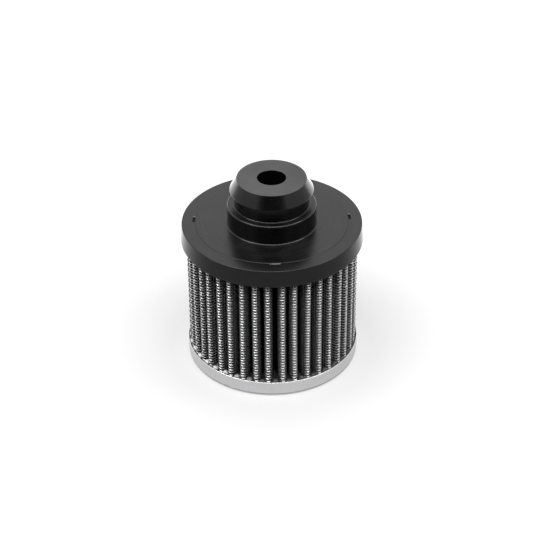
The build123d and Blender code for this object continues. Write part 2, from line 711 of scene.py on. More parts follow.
def rounded_outline(corners: list[tuple], steps: int = 6, support: float = 0.12) -> list[tuple]:
    """Rounds an outline's corners and puts a support point near each end of its longer runs.

    Args:
        corners: radius, height and rounding of each corner in turn, in millimetres.
        steps: facets of each rounding.
        support: distance of the support points from the ends of a run.

    Returns:
        The closed outline's points.
    """
    arcs = []
    for index, (radius, height, rounding) in enumerate(corners):
        corner = Vector((radius, height))
        if not rounding:
            arcs.append([corner])
            continue
        back = (Vector(corners[index - 1][:2]) - corner).normalized()
        onward = (Vector(corners[(index + 1) % len(corners)][:2]) - corner).normalized()
        half = back.angle(onward) / 2
        centre = corner + (back + onward).normalized() * (rounding / math.sin(half))
        first = corner + back * (rounding / math.tan(half)) - centre
        sweep = first.angle_signed(corner + onward * (rounding / math.tan(half)) - centre)
        turns = [-sweep * step / steps for step in range(steps + 1)]
        arcs.append([centre + Matrix.Rotation(turn, 2) @ first for turn in turns])
    points = []
    for index, arc in enumerate(arcs):
        points += arc
        start, end = arc[-1], arcs[(index + 1) % len(arcs)][0]
        run = end - start
        if run.length > 4 * support:
            step = run.normalized() * support
            points += [start + step, end - step]
    return [(point.x, point.y) for point in points]


def turned(name: str, outline: list[tuple], segments: int = 288) -> Object:
    """Turns a closed outline about the axis into a closed shell.

    Args:
        name: the piece's name.
        outline: radius and height of each point in turn, in millimetres.
        segments: number of steps round the axis.

    Returns:
        The piece, unshaded.
    """
    shape = bmesh.new()
    turns = [2 * math.pi * step / segments for step in range(segments)]
    rings = []
    for radius, height in outline:
        if radius < NEAR:
            rings.append([shape.verts.new((0.0, 0.0, height * MM))] * segments)
            continue
        across, level = radius * MM, height * MM
        places = [(across * math.cos(turn), across * math.sin(turn), level) for turn in turns]
        rings.append([shape.verts.new(place) for place in places])
    for index, ring in enumerate(rings):
        following = rings[(index + 1) % len(rings)]
        for step in range(segments):
            ahead = (step + 1) % segments
            corners = dict.fromkeys((ring[step], ring[ahead], following[ahead], following[step]))
            if len(corners) > 2:
                shape.faces.new(list(corners))
    bmesh.ops.recalc_face_normals(shape, faces=shape.faces)
    mesh = bpy.data.meshes.new(name)
    shape.to_mesh(mesh)
    shape.free()
    return new_object(name, mesh)


def lengths_along(points: np.ndarray) -> np.ndarray:
    """Distance along a closed line to each of its points, and last to its first point again."""
    steps = np.linalg.norm(np.roll(points, -1, axis=0) - points, axis=1)
    return np.concatenate(((0.0,), np.cumsum(steps)))


@dataclass(frozen=True)
class PleatPlan:
    """Plan of the pleated pack: where its folded sheet runs at any depth under the outer face."""

    count: int = 40
    first_turn: float = -3.0
    wander: float = 0.5
    wander_step: float = 3.7
    tip_radius: float = 36.4
    pleat_depth: float = 9.8
    screen_thickness: float = 0.5
    gauze_thickness: float = 0.4
    tip_inner_fold: float = 0.2
    valley_outer_fold: float = 0.4
    arc_steps: int = 8
    flank_steps: int = 5

    @property
    def pitch(self) -> float:
        """Turn from one pleat to the next, in degrees."""
        return 360.0 / self.count

    @property
    def tip_fold(self) -> float:
        """Radius of the outer face where it folds over a tip."""
        return self.tip_inner_fold + 2 * self.screen_thickness + self.gauze_thickness

    @property
    def tip_centre(self) -> float:
        """Distance of the tip folds' centres from the axis."""
        return self.tip_radius - self.tip_fold

    @property
    def valley_centre(self) -> float:
        """Distance of the valley folds' centres from the axis."""
        return self.tip_radius - self.pleat_depth + self.valley_outer_fold

    def tip_turn(self, number: int) -> float:
        """Azimuth of a tip, in degrees."""
        return self.first_turn + number * self.pitch + self.wander * math.sin(self.wander_step * number)

    def folds(self) -> list[tuple[np.ndarray, int]]:
        """Centre of each tip and valley fold in turn, with +1 for a tip.

        Returns:
            The folds.
        """
        found = []
        for number in range(self.count):
            tip = math.radians(self.tip_turn(number))
            valley = math.radians(self.first_turn + (number + 0.5) * self.pitch)
            found.append((self.tip_centre * np.array((math.cos(tip), math.sin(tip))), 1))
            found.append((self.valley_centre * np.array((math.cos(valley), math.sin(valley))), -1))
        return found

    def line(self, depth: float) -> tuple[np.ndarray, np.ndarray]:
        """Smooth closed line of the folded sheet at a depth under its outer face.

        Args:
            depth: distance inwards from the outer face.

        Returns:
            The points, and for each point whether it lies on a tip's arc.
        """
        folds = self.folds()
        reach = self.tip_fold + self.valley_outer_fold
        leaving = []
        for index, (centre, side) in enumerate(folds):
            span = folds[(index + 1) % len(folds)][0] - centre
            leaving.append(math.atan2(span[1], span[0]) - side * math.acos(reach / np.linalg.norm(span)))
        arcs = []
        for index, (centre, side) in enumerate(folds):
            radius = self.tip_fold - depth if side > 0 else self.valley_outer_fold + depth
            arrival = leaving[index - 1] + math.pi
            sweep = side * ((side * (leaving[index] - arrival)) % (2 * math.pi))
            turns = arrival + sweep * np.linspace(0.0, 1.0, self.arc_steps + 1)
            arcs.append(centre + radius * np.stack((np.cos(turns), np.sin(turns)), axis=1))
        points, on_tip = [], []
        shares = np.linspace(0.0, 1.0, self.flank_steps + 1)[1:-1, None]
        for index, arc in enumerate(arcs):
            flank = arc[-1] + (arcs[(index + 1) % len(arcs)][0] - arc[-1]) * shares
            points += [arc, flank]
            on_tip += [folds[index][1] > 0] * len(arc) + [False] * len(flank)
        return np.concatenate(points), np.array(on_tip)


@dataclass(frozen=True)
class Sway:
    """How the pleats lean and bow out of line between the two caps, from a fixed seed."""

    plan: PleatPlan
    low: float
    high: float
    lean: float = 0.12
    bow: float = 0.08
    seed: int = 11

    def bend(self, mesh: Mesh) -> None:
        """Moves a mesh's points sideways, most at the pleats' tips and none at their valleys.

        Args:
            mesh: the mesh of a piece that belongs to the pack.
        """
        plan = self.plan
        chance = np.random.default_rng(self.seed)
        leans = chance.uniform(-self.lean, self.lean, plan.count)
        bows = chance.uniform(-self.bow, self.bow, plan.count)
        places = np.empty(len(mesh.vertices) * 3, dtype=np.float32)
        mesh.vertices.foreach_get("co", places)
        points = places.reshape(-1, 3).astype(float) / MM
        radius = np.hypot(points[:, 0], points[:, 1])
        turn = np.degrees(np.arctan2(points[:, 1], points[:, 0]))
        pleat = np.rint((turn - plan.first_turn) / plan.pitch).astype(int) % plan.count
        share = np.clip((radius - plan.valley_centre) / (plan.tip_centre - plan.valley_centre), 0.0, 1.0)
        weight = share * share * (3.0 - 2.0 * share)
        level = np.clip(2.0 * (points[:, 2] - self.low) / (self.high - self.low) - 1.0, -1.0, 1.0)
        shift = weight * (leans[pleat] * level + bows[pleat] * (1.0 - level * level))
        sideways = np.radians(plan.first_turn + pleat * plan.pitch)
        points[:, 0] -= np.sin(sideways) * shift
        points[:, 1] += np.cos(sideways) * shift
        mesh.vertices.foreach_set("co", (points * MM).astype(np.float32).ravel())
        mesh.update()


@dataclass(frozen=True)
class FoldedSheet:
    """One layer of the pleated pack as a smooth closed sheet, with its cloth laid out as a UV map."""

    name: str
    node: str
    plan: PleatPlan
    sway: Sway
    outer_depth: float
    thickness: float
    low: float
    high: float
    rows: int

    def build(self, finish: Material, slot: Slot) -> Object:
        """Builds the sheet up its outer face and down its inner one, and dresses it.

        Args:
            finish: the sheet's material.
            slot: not used.

        Returns:
            The piece.
        """
        outer, _ = self.plan.line(self.outer_depth)
        inner, _ = self.plan.line(self.outer_depth + self.thickness)
        along = lengths_along((outer + inner) / 2)
        rising = np.linspace(self.low, self.high, self.rows)
        levels = np.concatenate((rising, rising[::-1]))
        count = len(outer)
        rings = [
            np.column_stack((outer if ring < self.rows else inner, np.full(count, level)))
            for ring, level in enumerate(levels)
        ]
        faces, cloth = [], []
        for ring in range(len(rings)):
            following = (ring + 1) % len(rings)
            for step in range(count):
                corners = ((ring, 0), (ring, 1), (following, 1), (following, 0))
                faces.append([row * count + (step + far) % count for row, far in corners])
                cloth += [(along[step + far], levels[row]) for row, far in corners]
        mesh = bpy.data.meshes.new(self.name)
        mesh.from_pydata(np.concatenate(rings) * MM, [], faces)
        layout = mesh.uv_layers.new(name="cloth")
        layout.data.foreach_set("uv", (np.array(cloth) * MM).astype(np.float32).ravel())
        self.sway.bend(mesh)
        return dressed(new_object(self.name, mesh), finish, self.node, SOFT_CREASE)

    @property
    def flat(self) -> tuple[float, float]:
        """The sheet's size before it was folded, height by length, in metres."""
        middle, _ = self.plan.line(self.outer_depth + self.thickness / 2)
        return (self.high - self.low) * MM, float(lengths_along(middle)[-1]) * MM


@dataclass(frozen=True)
class Wires:
    """The wires of one direction of the screen: their size, their swing, their painted shine and their
    pieces.
    """

    radius: float
    swing: float
    painted_shine: float
    pieces: int


@dataclass(frozen=True)
class WovenScreen:
    """The outer screen, woven of round wires that run along the folds and up the pleats."""

    plan: PleatPlan
    sway: Sway
    low: float
    high: float
    depth: float = 0.27
    # Painted shine: the courses' crowns take the full painted highlight, the uprights almost none.
    courses: Wires = Wires(radius=0.26, swing=0.05, painted_shine=1.0, pieces=3)
    uprights: Wires = Wires(radius=0.17, swing=0.26, painted_shine=0.04, pieces=2)
    course_pitch: float = 1.35
    uprights_per_pleat: int = 18
    skew: float = 0.004
    wobble: float = 0.04
    wire_sides: int = 5
    seed: int = 5

    @property
    def crossings(self) -> int:
        """How many uprights each course wire crosses."""
        return self.plan.count * self.uprights_per_pleat

    def build(self, finish: Material) -> list[Object]:
        """Weaves the screen in a few pieces, each small enough to keep all its faces.

        Args:
            finish: the wires' material.

        Returns:
            The pieces.
        """
        line, on_tip = self.plan.line(self.depth)
        along = lengths_along(line)
        length = float(along[-1])
        rows = int((self.high - self.low - 2 * self.courses.radius) // self.course_pitch) + 1
        guide = self._guide(line)
        placing = self._placing_group()
        common = {
            "Fold line": guide,
            "Length": length * MM,
            "Base": (self.low + self.courses.radius) * MM,
            "Middle": (self.low + self.high) / 2 * MM,
            "Row pitch": self.course_pitch * MM,
            "Rows": rows,
            "Station pitch": length * MM / self.crossings,
            "Skew": self.skew,
            "Wobble": self.wobble,
            "Sides": self.wire_sides,
            "Seed": self.seed,
            "Finish": finish,
        }
        pieces = []
        for run, wires, total in (
            (Run.COURSE, self.courses, rows),
            (Run.UPRIGHT, self.uprights, self.crossings),
        ):
            tree = self._tree(run, placing)
            own = {"Wire radius": wires.radius * MM, "Swing": wires.swing * MM, "Painted shine": wires.painted_shine}
            edges = [round(total * part / wires.pieces) for part in range(wires.pieces + 1)]
            for first, last in zip(edges, edges[1:]):
                name = f"screen_{run.value}_wires_{len(pieces) + 1}"
                if run is Run.COURSE:
                    host = self._chain(name, *self._one_course(along, on_tip))
                else:
                    host = self._points(name, self._stations(along, np.arange(first, last)))
                piece = new_object(name, host)
                self._weave(piece, tree, {**common, **own, "First": first, "Count": last - first})
                self.sway.bend(piece.data)
                pieces.append(dressed(piece, finish, "outer_screen"))
        bpy.data.objects.remove(guide)
        return pieces

    def _stations(self, along: np.ndarray, numbers: np.ndarray) -> np.ndarray:
        """Where the uprights cross the fold line. The middle of each tip falls midway between two.

        Args:
            along: distance along the fold line to each of its points.
            numbers: the uprights' numbers, with halves for the places between them.

        Returns:
            Distances along the fold line.
        """
        stride = (len(along) - 1) // self.plan.count
        middles = along[self.plan.arc_steps // 2 :: stride]
        middles = np.append(middles[: self.plan.count], along[-1] + middles[0])
        return np.interp((numbers + 0.5) / self.uprights_per_pleat, np.arange(self.plan.count + 1), middles)

    @staticmethod
    def _guide(line: np.ndarray) -> Object:
        """The fold line as a closed curve, for the wires to follow.

        Args:
            line: the fold line's points.

        Returns:
            The curve's object, for as long as the weaving takes.
        """
        curve = bpy.data.curves.new("fold_line", "CURVE")
        curve.dimensions = "3D"
        spline = curve.splines.new("POLY")
        spline.points.add(len(line) - 1)
        padded = np.column_stack((line * MM, np.zeros(len(line)), np.ones(len(line))))
        spline.points.foreach_set("co", padded.ravel())
        spline.use_cyclic_u = True
        return new_object("fold_line", curve)

    def _one_course(self, along: np.ndarray, on_tip: np.ndarray) -> tuple[np.ndarray, np.ndarray]:
        """Points of one course wire, finer where it folds over a tip.

        Args:
            along: distance along the fold line to each of its points.
            on_tip: whether each of those points lies on a tip's arc.

        Returns:
            Each point's distance along the fold line, and its count of crossings.
        """
        numbers = np.arange(2 * self.crossings) / 2
        places = self._stations(along, numbers)
        nearest = np.searchsorted(along, places % along[-1], side="right") - 1
        kept = (numbers % 1 == 0) | on_tip[np.minimum(nearest, len(on_tip) - 1)]
        return places[kept], numbers[kept]

    @staticmethod
    def _store(mesh: Mesh, name: str, values: np.ndarray) -> None:
        """Stores a number under a name on each point of a mesh."""
        mesh.attributes.new(name, "FLOAT", "POINT").data.foreach_set("value", values.astype(np.float32))

    @classmethod
    def _points(cls, name: str, places: np.ndarray) -> Mesh:
        """Loose points, each with its distance along the fold line.

        Args:
            name: the mesh's name.
            places: distances along the fold line.

        Returns:
            The mesh.
        """
        mesh = bpy.data.meshes.new(name)
        mesh.from_pydata(np.column_stack((places * MM, np.zeros((len(places), 2)))), [], [])
        cls._store(mesh, "place", places * MM)
        return mesh

    @classmethod
    def _chain(cls, name: str, places: np.ndarray, numbers: np.ndarray) -> Mesh:
        """A closed chain of points, each with its distance along the fold line and its crossings.

        Args:
            name: the mesh's name.
            places: distances along the fold line.
            numbers: how many uprights are crossed by then.

        Returns:
            The mesh.
        """
        count = len(places)
        mesh = cls._points(name, places)
        mesh.edges.add(count)
        ends = [end for step in range(count) for end in (step, (step + 1) % count)]
        mesh.edges.foreach_set("vertices", ends)
        cls._store(mesh, "crossing", numbers)
        return mesh

    @staticmethod
    def _placing_group() -> NodeTree:
        """Geometry Nodes group that finds a wire point's place on the folded sheet.

        Returns:
            The group.
        """
        graph, given, result = new_group(
            "Geometry",
            "place_on_fold_line",
            {"Geometry": ["Fold line"], "Float": ["Along", "Height", "Lift", "Length", "Middle", "Skew"]},
            {"Vector": ["Position"]},
        )
        drift = graph.times(graph.sum("SUBTRACT", given["Height"], given["Middle"]), given["Skew"])
        reached = graph.sum("FLOORED_MODULO", graph.sum("ADD", given["Along"], drift), given["Length"])
        ends = {"Curves": given["Fold line"], "Length": reached}
        found = graph.add("GeometryNodeSampleCurve", ends, mode="LENGTH").outputs
        outward = graph.vector("CROSS_PRODUCT", found["Tangent"], (0.0, 0.0, 1.0))
        lifted = graph.vector("ADD", found["Position"], graph.scaled(outward, given["Lift"]))
        raised = graph.out("ShaderNodeCombineXYZ", {"Z": given["Height"]})
        graph.fill(result, {"Position": graph.vector("ADD", lifted, raised)})
        return graph.tree

    def _tree(self, run: Run, placing: NodeTree) -> NodeTree:
        """Geometry Nodes tree that weaves the wires of one direction.

        Args:
            run: which way the wires run.
            placing: the group that places a point on the folded sheet.

        Returns:
            The tree.
        """
        numbers = ["Length", "Base", "Middle", "Row pitch", "Swing", "Wire radius", "Skew", "Wobble"]
        counts = ["First", "Count", "Sides", "Seed"]
        if run is Run.UPRIGHT:
            numbers.append("Station pitch")
            counts.append("Rows")
        inputs = {"Geometry": ["Geometry"], "Object": ["Fold line"], "Float": [*numbers, "Painted shine"]}
        graph, given, result = new_group(
            "Geometry",
            f"{run.value}_wires",
            {**inputs, "Int": counts, "Material": ["Finish"]},
            {"Geometry": ["Geometry"]},
        )
        index = graph.out("GeometryNodeInputIndex")
        if run is Run.COURSE:
            starts = graph.out("GeometryNodeMeshLine", {"Count": given["Count"], "Offset": (0.0, 0.0, 0.0)})
            chain = given["Geometry"]
        else:
            starts = given["Geometry"]
            rows = graph.out("GeometryNodeMeshLine", {"Count": given["Rows"], "Offset": (0.0, 0.0, 1.0)})
            chain = self._stored(graph, rows, "crossing", index)
        points = self._stored(graph, starts, "wire", graph.sum("ADD", index, given["First"]))
        single = graph.out("GeometryNodeMeshToCurve", {"Mesh": chain})
        copies = graph.out("GeometryNodeInstanceOnPoints", {"Points": points, "Instance": single})
        whole = graph.out("GeometryNodeRealizeInstances", {"Geometry": copies})
        wire, crossing, along = (
            graph.out("GeometryNodeInputNamedAttribute", {"Name": name}, data_type="FLOAT")
            for name in ("wire", "crossing", "place")
        )
        wobble = given["Wobble"]
        ends = {2: graph.times(wobble, -1.0), 3: wobble, "ID": wire, "Seed": given["Seed"]}
        chance = graph.add("FunctionNodeRandomValue", ends, data_type="FLOAT").outputs[1]
        row, side = graph.sum("ADD", wire, chance), 1.0
        if run is Run.UPRIGHT:
            along = graph.sum("MULTIPLY_ADD", chance, given["Station pitch"], along)
            row, side = crossing, -1.0
        wave = graph.sum("COSINE", graph.times(graph.sum("ADD", wire, crossing), math.pi))
        guide = graph.add("GeometryNodeObjectInfo", {"Object": given["Fold line"]}).outputs["Geometry"]
        placed = graph.place(
            placing,
            Fold_line=guide,
            Along=along,
            Height=graph.sum("MULTIPLY_ADD", row, given["Row pitch"], given["Base"]),
            Lift=graph.times(wave, side, given["Swing"]),
            Length=given["Length"],
            Middle=given["Middle"],
            Skew=given["Skew"],
        )["Position"]
        bent = graph.out("GeometryNodeSetPosition", {"Geometry": whole, "Position": placed})
        # Painted highlight: the crowns over each crossing, scaled by the wires' painted shine, for the
        # finish to brighten.
        crown = graph.times(graph.sum("MULTIPLY_ADD", wave, side / 2, 0.5), given["Painted shine"])
        path = self._stored(graph, bent, "crown", crown)
        circle = {"Resolution": given["Sides"], "Radius": given["Wire radius"]}
        section = graph.out("GeometryNodeCurvePrimitiveCircle", circle)
        swept = {"Curve": path, "Profile Curve": section, "Fill Caps": True}
        drawn = graph.out("GeometryNodeCurveToMesh", swept)
        smooth = graph.out("GeometryNodeSetShadeSmooth", {"Geometry": drawn})
        whole = graph.out("GeometryNodeRealizeInstances", {"Geometry": smooth})
        finished = graph.out("GeometryNodeSetMaterial", {"Geometry": whole, "Material": given["Finish"]})
        graph.fill(result, {"Geometry": finished})
        return graph.tree

    @staticmethod
    def _stored(graph: Graph, geometry: NodeSocket, name: str, value: object) -> NodeSocket:
        """Geometry with a number stored on each of its points."""
        given = {"Geometry": geometry, "Name": name, "Value": value}
        return graph.out("GeometryNodeStoreNamedAttribute", given, data_type="FLOAT", domain="POINT")

    @staticmethod
    def _weave(piece: Object, tree: NodeTree, values: dict) -> None:
        """Runs a tree on a piece with the given inputs, and keeps the result as plain mesh.

        Args:
            piece: the piece, with its starting points.
            tree: the tree.
            values: input name to value.
        """
        modifier = piece.modifiers.new("weave", "NODES")
        modifier.node_group = tree
        for item in tree.interface.items_tree:
            if item.item_type == "SOCKET" and item.in_out == "INPUT" and item.name in values:
                modifier[item.identifier] = values[item.name]
        finished_mesh(piece)


@dataclass(frozen=True)
class Moulding:
    """The black rubber moulding: cap, skirt, boss, neck and head in one."""

    skirt_foot: float
    top: float
    bore: float = 6.0
    bore_rounding: float = 0.3
    cap_face_above: float = 7.9
    cap_radius: float = 38.1
    skirt_draft: float = 0.55
    edge_rounding: float = 0.25
    foot_rounding: float = 0.4
    rim_width: float = 5.9
    rim_drop: float = 0.15
    rim_fall: float = 0.1
    embedment: float = 3.9
    ring_radius: float = 22.9
    ring_rounding: float = 0.5
    neck_radius: float = 15.76
    neck_height: float = 6.3
    neck_rounding: float = 0.4
    shelf_rounding: float = 0.1
    shoulder_width: float = 2.94
    shoulder_rounding: float = 0.6
    boss_height: float = 8.7
    boss_draft: float = 0.2
    boss_root: float = 0.6
    head_overhang: float = 2.21
    head_rounding: float = 0.6
    nose_inset: float = 1.14
    nose_rounding: float = 0.25
    mark_turns: tuple = (5, 91, 177, 272)
    mark_inset: float = 5.1
    mark_length: float = 4.0
    mark_width: float = 0.8
    mark_depth: float = 0.6
    mark_bevel: float = 0.2
    hole_ends: tuple = (1, 1, -1, -1)
    hole_radius: float = 0.55
    hole_depth: float = 1.5
    hole_sides: int = 20

    def build(self, finish: Material) -> Object:
        """Turns the moulding, cuts the marks into its face and dresses it.

        Args:
            finish: the piece's material.

        Returns:
            The piece.
        """
        face = self.skirt_foot + self.cap_face_above
        shoulder = face + self.boss_height
        shelf = shoulder + self.neck_height
        boss = self.neck_radius + self.shoulder_width
        rim = self.cap_radius - self.rim_width
        corners = [
            (self.bore, self.top, self.bore_rounding),
            (self.neck_radius - self.nose_inset, self.top, self.nose_rounding),
            (self.neck_radius + self.head_overhang, shelf, self.head_rounding),
            (self.neck_radius, shelf, self.shelf_rounding),
            (self.neck_radius, shoulder, self.neck_rounding),
            (boss, shoulder, self.shoulder_rounding),
            (boss + self.boss_draft, face, self.boss_root),
            (rim, face, 0),
            (rim + self.rim_drop, face - self.rim_drop, 0),
            (self.cap_radius, face - self.rim_drop - self.rim_fall, self.edge_rounding),
            (self.cap_radius + self.skirt_draft, self.skirt_foot, self.foot_rounding),
            (self.ring_radius, self.skirt_foot, self.ring_rounding),
            (self.ring_radius, self.skirt_foot + self.embedment, self.ring_rounding),
            (self.bore, self.skirt_foot + self.embedment, self.bore_rounding),
        ]
        piece = turned("moulding", rounded_outline(corners))
        self._cut_marks(piece, face - self.rim_drop)
        return dressed(piece, finish, "end_cap_moulding", TURNED_CREASE)

    def _cut_marks(self, piece: Object, face: float) -> None:
        """Cuts the four shallow slots, their bevelled edges, and then a pin's hole at one end of each.

        Args:
            piece: the moulding.
            face: height of the cap's face where the marks are.
        """
        slots, bevels, holes = bmesh.new(), bmesh.new(), bmesh.new()
        slot = Matrix.Diagonal((self.mark_width, self.mark_length, 2 * self.mark_depth, 1.0))
        hole = Matrix.Diagonal((self.hole_radius, self.hole_radius, 2 * self.hole_depth, 1.0))
        for turn, end in zip(self.mark_turns, self.hole_ends):
            inset = Matrix.Translation((self.cap_radius - self.mark_inset, 0.0, face))
            place = Matrix.Scale(MM, 4) @ Matrix.Rotation(math.radians(turn), 4, "Z") @ inset
            aside = Matrix.Translation((0.0, end * (self.mark_length / 2 - self.hole_radius), 0.0))
            bmesh.ops.create_cube(slots, size=1.0, matrix=place @ slot)
            for vertex in bmesh.ops.create_cube(bevels, size=2.0)["verts"]:
                spread = self.mark_bevel * (1.0 + vertex.co.z)
                across = vertex.co.x * (self.mark_width / 2 + spread)
                along = vertex.co.y * (self.mark_length / 2 + spread)
                vertex.co = place @ Vector((across, along, vertex.co.z * self.mark_bevel))
            bmesh.ops.create_cone(
                holes,
                cap_ends=True,
                segments=self.hole_sides,
                radius1=1.0,
                radius2=1.0,
                depth=1.0,
                matrix=place @ aside @ hole,
            )
        for shape in (slots, bevels, holes):
            self._cut(piece, shape)

    @staticmethod
    def _cut(piece: Object, shape: bmesh.types.BMesh) -> None:
        """Takes a shape away from a piece.

        Args:
            piece: the piece.
            shape: the shape, which is used up.
        """
        bmesh.ops.recalc_face_normals(shape, faces=shape.faces)
        mesh = bpy.data.meshes.new("cutter")
        shape.to_mesh(mesh)
        shape.free()
        cutter = new_object("cutter", mesh)
        cut = piece.modifiers.new("cut", "BOOLEAN")
        cut.object = cutter
        cut.operation = "DIFFERENCE"
        cut.solver = "EXACT"
        finished_mesh(piece)
        bpy.data.objects.remove(cutter)


@dataclass(frozen=True)
class MetalCap:
    """The shallow drawn cup at the foot."""

    height: float
    foot_radius: float = 36.85
    draft: float = 0.3
    gauge: float = 0.4
    bend: float = 1.2
    lip: float = 0.15
    steps: int = 8

    def build(self, finish: Material) -> Object:
        """Turns the cup from one thin outline and dresses it.

        Args:
            finish: the piece's material.

        Returns:
            The piece.
        """
        rim = self.foot_radius + self.draft
        corners = [
            (0.0, 0.0, 0),
            (self.foot_radius, 0.0, self.bend),
            (rim, self.height, self.lip),
            (rim - self.gauge, self.height, self.lip),
            (self.foot_radius - self.gauge, self.gauge, self.bend - self.gauge),
            (0.0, self.gauge, 0),
        ]
        piece = turned("metal_cap", rounded_outline(corners, self.steps))
        return dressed(piece, finish, "metal_end_cap", TURNED_CREASE)


@dataclass(frozen=True)
class Potting:
    """The compound in the metal cap, which creeps up the pleats in uneven lumps as it sets."""

    plan: PleatPlan
    cap: MetalCap
    top: float
    segments: int = 640
    ring_step: float = 0.4
    still_radius: float = 18.0
    sheet_depth: float = 0.25
    creep: float = 0.8
    creep_reach: float = 0.6
    creep_share: tuple = (0.75, 0.9)
    lump: float = 0.5
    lump_scale: float = 0.55
    lump_floor: float = -0.3
    lump_level: float = 3.0
    wall_reach: float = 1.2
    bead_height: float = 2.2
    bead_half_width: float = 1.5
    bead_depth: float = 2.8
    bead_wall: float = 0.5
    bead_share: tuple = (0.9, 0.35)
    bead_scale: float = 1.7

    def build(self, finish: Material) -> Object:
        """Turns the compound's body with a fine top, raises its lumps and dresses it.

        Args:
            finish: the piece's material.

        Returns:
            The piece.
        """
        cap = self.cap
        foot = cap.foot_radius - cap.gauge
        edge = foot + cap.draft * (self.top - cap.gauge) / (cap.height - cap.gauge)
        corners = [(0.0, cap.gauge, 0), (foot, cap.gauge, cap.bend - cap.gauge), (edge, self.top, 0)]
        body = rounded_outline(corners)
        rings = np.arange(edge - self.ring_step, self.still_radius, -self.ring_step)
        edge_at = next(index for index, point in enumerate(body) if abs(point[1] - self.top) < NEAR)
        outline = body[: edge_at + 1] + [(float(radius), self.top) for radius in rings] + [(0.0, self.top)]
        piece = turned("potting", outline, self.segments)
        self._raise_lumps(piece.data, edge)
        return dressed(piece, finish, "potting_compound", SOFT_CREASE)

    def _raise_lumps(self, mesh: Mesh, edge: float) -> None:
        """Raises the top along the folded sheet and in random lumps, but not at the cap's wall.

        Args:
            mesh: the compound's mesh.
            edge: radius of its top's edge.
        """
        line, _ = self.plan.line(self.sheet_depth)
        tree = KDTree(len(line))
        for index, (across, deep) in enumerate(line):
            tree.insert((across, deep, 0.0), index)
        tree.balance()
        mean, swing = self.creep_share
        for vertex in mesh.vertices:
            spot = vertex.co / MM
            radius = spot.xy.length
            if abs(spot.z - self.top) > NEAR or radius < self.still_radius:
                continue
            gap = tree.find((spot.x, spot.y, 0.0))[2]
            inside = min(max((edge - radius) / self.wall_reach, 0.0), 1.0)
            lump = noise.noise(Vector((spot.x, spot.y, self.lump_level)) * self.lump_scale)
            rise = self.creep * math.exp(-gap / self.creep_reach) * (mean + swing * lump)
            level = (rise + self.lump * max(lump, self.lump_floor)) * inside
            vertex.co.z += max(level, self._bead(spot, edge - radius)) * MM

    def _bead(self, spot: Vector, inset: float) -> float:
        """Height of the bead that the compound forms between two tips, along the cap's wall.

        Args:
            spot: the place on the compound's top.
            inset: its distance inwards from the top's edge.

        Returns:
            The height.
        """
        plan = self.plan
        pleats = (math.degrees(math.atan2(spot.y, spot.x)) - plan.first_turn) / plan.pitch
        number = math.floor(pleats)
        aside = abs(pleats - number - 0.5) * math.radians(plan.pitch) * spot.xy.length
        across = 1.0 - min(aside / self.bead_half_width, 1.0) ** 2
        along = min(inset / self.bead_wall, 1.0) * max(1.0 - (inset / self.bead_depth) ** 2, 0.0)
        mean, swing = self.bead_share
        size = mean + swing * noise.noise(Vector((number % plan.count, 0.5, 0.5)) * self.bead_scale)
        return self.bead_height * size * math.sqrt(across * along)


